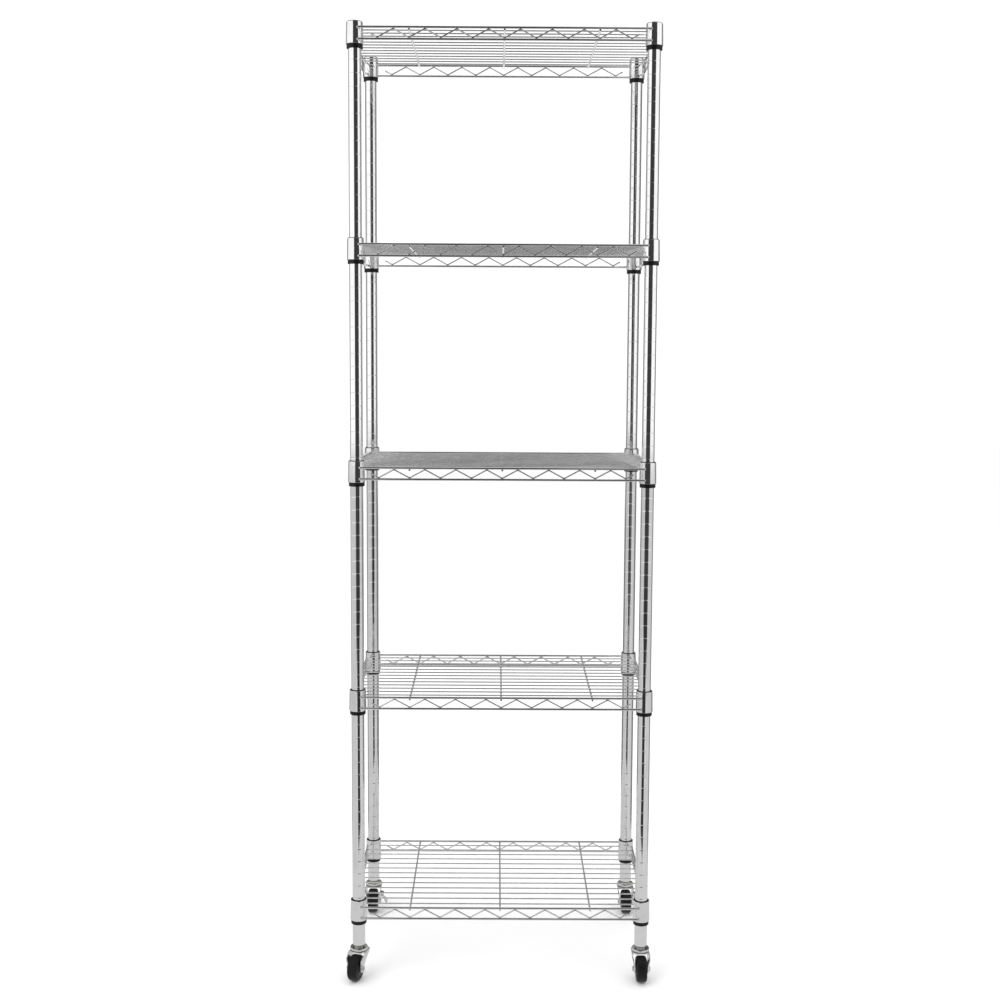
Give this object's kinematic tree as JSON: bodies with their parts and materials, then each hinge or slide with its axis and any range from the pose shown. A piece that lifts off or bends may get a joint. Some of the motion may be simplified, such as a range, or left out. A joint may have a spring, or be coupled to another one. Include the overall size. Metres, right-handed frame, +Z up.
{
  "type": "wire shelving rack",
  "caption": "Tall chrome wire shelving rack: grooved posts, wire shelves that lift off tapered sleeves, and swivel casters.",
  "frame": {"origin": "on the floor, under the middle of the rectangle made by the four post axes", "axes": "+Z up along the posts, +X to the right along the long sides of the shelves, -Y the front"},
  "size_m": [0.6279, 0.3798, 1.8903],
  "materials": {
    "chrome_post": "bright plated tube",
    "cap_chrome": "bright plated cap",
    "chrome_wire": "bright plated drawn wire",
    "chrome_collar": "bright plated casting",
    "sleeve_plastic": "moulded black",
    "insert_plastic": "moulded dark grey",
    "zinc_steel": "zinc plated",
    "caster_plate": "pressed and plated sheet",
    "ball_steel": "polished",
    "tyre_rubber": "satin black",
    "hub_plastic": "moulded black"
  },
  "bodies": {
    "rack": {"post_front_left": "chrome_post", "post_front_right": "chrome_post", "post_rear_left": "chrome_post", "post_rear_right": "chrome_post", "post_caps": "cap_chrome", "post_foot_inserts": "insert_plastic", "sleeves_1": "sleeve_plastic", "sleeves_2": "sleeve_plastic", "sleeves_3": "sleeve_plastic", "sleeves_4": "sleeve_plastic", "sleeves_5": "sleeve_plastic", "caster_stems": "zinc_steel", "caster_races": "caster_plate", "caster_balls": "ball_steel"},
    "shelf_1": {"shelf_1_collars": "chrome_collar", "shelf_1_rims": "chrome_wire", "shelf_1_trusses": "chrome_wire", "shelf_1_deck_wires": "chrome_wire", "shelf_1_cross_wires": "chrome_wire"},
    "shelf_2": {"shelf_2_collars": "chrome_collar", "shelf_2_rims": "chrome_wire", "shelf_2_trusses": "chrome_wire", "shelf_2_deck_wires": "chrome_wire", "shelf_2_cross_wires": "chrome_wire"},
    "shelf_3": {"shelf_3_collars": "chrome_collar", "shelf_3_rims": "chrome_wire", "shelf_3_trusses": "chrome_wire", "shelf_3_deck_wires": "chrome_wire", "shelf_3_cross_wires": "chrome_wire"},
    "shelf_4": {"shelf_4_collars": "chrome_collar", "shelf_4_rims": "chrome_wire", "shelf_4_trusses": "chrome_wire", "shelf_4_deck_wires": "chrome_wire", "shelf_4_cross_wires": "chrome_wire"},
    "shelf_5": {"shelf_5_collars": "chrome_collar", "shelf_5_rims": "chrome_wire", "shelf_5_trusses": "chrome_wire", "shelf_5_deck_wires": "chrome_wire", "shelf_5_cross_wires": "chrome_wire"},
    "caster_front_left": {"fork_front_left": "caster_plate", "axle_front_left": "zinc_steel"},
    "wheel_front_left": {"tyre_front_left": "tyre_rubber", "hub_front_left": "hub_plastic"},
    "caster_front_right": {"fork_front_right": "caster_plate", "axle_front_right": "zinc_steel"},
    "wheel_front_right": {"tyre_front_right": "tyre_rubber", "hub_front_right": "hub_plastic"},
    "caster_rear_left": {"fork_rear_left": "caster_plate", "axle_rear_left": "zinc_steel", "brake_pin_rear_left": "zinc_steel"},
    "wheel_rear_left": {"tyre_rear_left": "tyre_rubber", "hub_rear_left": "hub_plastic"},
    "brake_rear_left": {"brake_lever_rear_left": "caster_plate"},
    "caster_rear_right": {"fork_rear_right": "caster_plate", "axle_rear_right": "zinc_steel", "brake_pin_rear_right": "zinc_steel"},
    "wheel_rear_right": {"tyre_rear_right": "tyre_rubber", "hub_rear_right": "hub_plastic"},
    "brake_rear_right": {"brake_lever_rear_right": "caster_plate"}
  },
  "joints": [
    {"name": "shelf_1_lift", "type": "slide", "parent": "rack", "child": "shelf_1", "axis": [0, 0, 1], "range_m": [0, 0.379]},
    {"name": "shelf_2_lift", "type": "slide", "parent": "rack", "child": "shelf_2", "axis": [0, 0, 1], "range_m": [0, 0.404]},
    {"name": "shelf_3_lift", "type": "slide", "parent": "rack", "child": "shelf_3", "axis": [0, 0, 1], "range_m": [0, 0.379]},
    {"name": "shelf_4_lift", "type": "slide", "parent": "rack", "child": "shelf_4", "axis": [0, 0, 1], "range_m": [0, 0.353]},
    {"name": "shelf_5_lift", "type": "slide", "parent": "rack", "child": "shelf_5", "axis": [0, 0, 1], "range_m": [0, 0.06]},
    {"name": "swivel_front_left", "type": "hinge", "parent": "rack", "child": "caster_front_left", "pos_m": [-0.2856, -0.1588, 0.057], "axis": [0, 0, 1], "continuous": true},
    {"name": "roll_front_left", "type": "hinge", "parent": "caster_front_left", "child": "wheel_front_left", "pos_m": [-0.29056, -0.1761, 0.0254], "axis": [0.9613, -0.2756, 0], "continuous": true},
    {"name": "swivel_front_right", "type": "hinge", "parent": "rack", "child": "caster_front_right", "pos_m": [0.2856, -0.1588, 0.057], "axis": [0, 0, 1], "continuous": true},
    {"name": "roll_front_right", "type": "hinge", "parent": "caster_front_right", "child": "wheel_front_right", "pos_m": [0.2856, -0.1768, 0.0254], "axis": [1, 0, 0], "continuous": true},
    {"name": "swivel_rear_left", "type": "hinge", "parent": "rack", "child": "caster_rear_left", "pos_m": [-0.2856, 0.1588, 0.057], "axis": [0, 0, 1], "continuous": true},
    {"name": "roll_rear_left", "type": "hinge", "parent": "caster_rear_left", "child": "wheel_rear_left", "pos_m": [-0.2856, 0.1408, 0.0254], "axis": [1, 0, 0], "continuous": true},
    {"name": "brake_rear_left", "type": "hinge", "parent": "caster_rear_left", "child": "brake_rear_left", "pos_m": [-0.265, 0.1408, 0.041], "axis": [0, -1, 0], "range_deg": [0, 25]},
    {"name": "swivel_rear_right", "type": "hinge", "parent": "rack", "child": "caster_rear_right", "pos_m": [0.2856, 0.1588, 0.057], "axis": [0, 0, 1], "continuous": true},
    {"name": "roll_rear_right", "type": "hinge", "parent": "caster_rear_right", "child": "wheel_rear_right", "pos_m": [0.2856, 0.1408, 0.0254], "axis": [1, 0, 0], "continuous": true},
    {"name": "brake_rear_right", "type": "hinge", "parent": "caster_rear_right", "child": "brake_rear_right", "pos_m": [0.3062, 0.1408, 0.041], "axis": [0, -1, 0], "range_deg": [0, 25]}
  ]
}
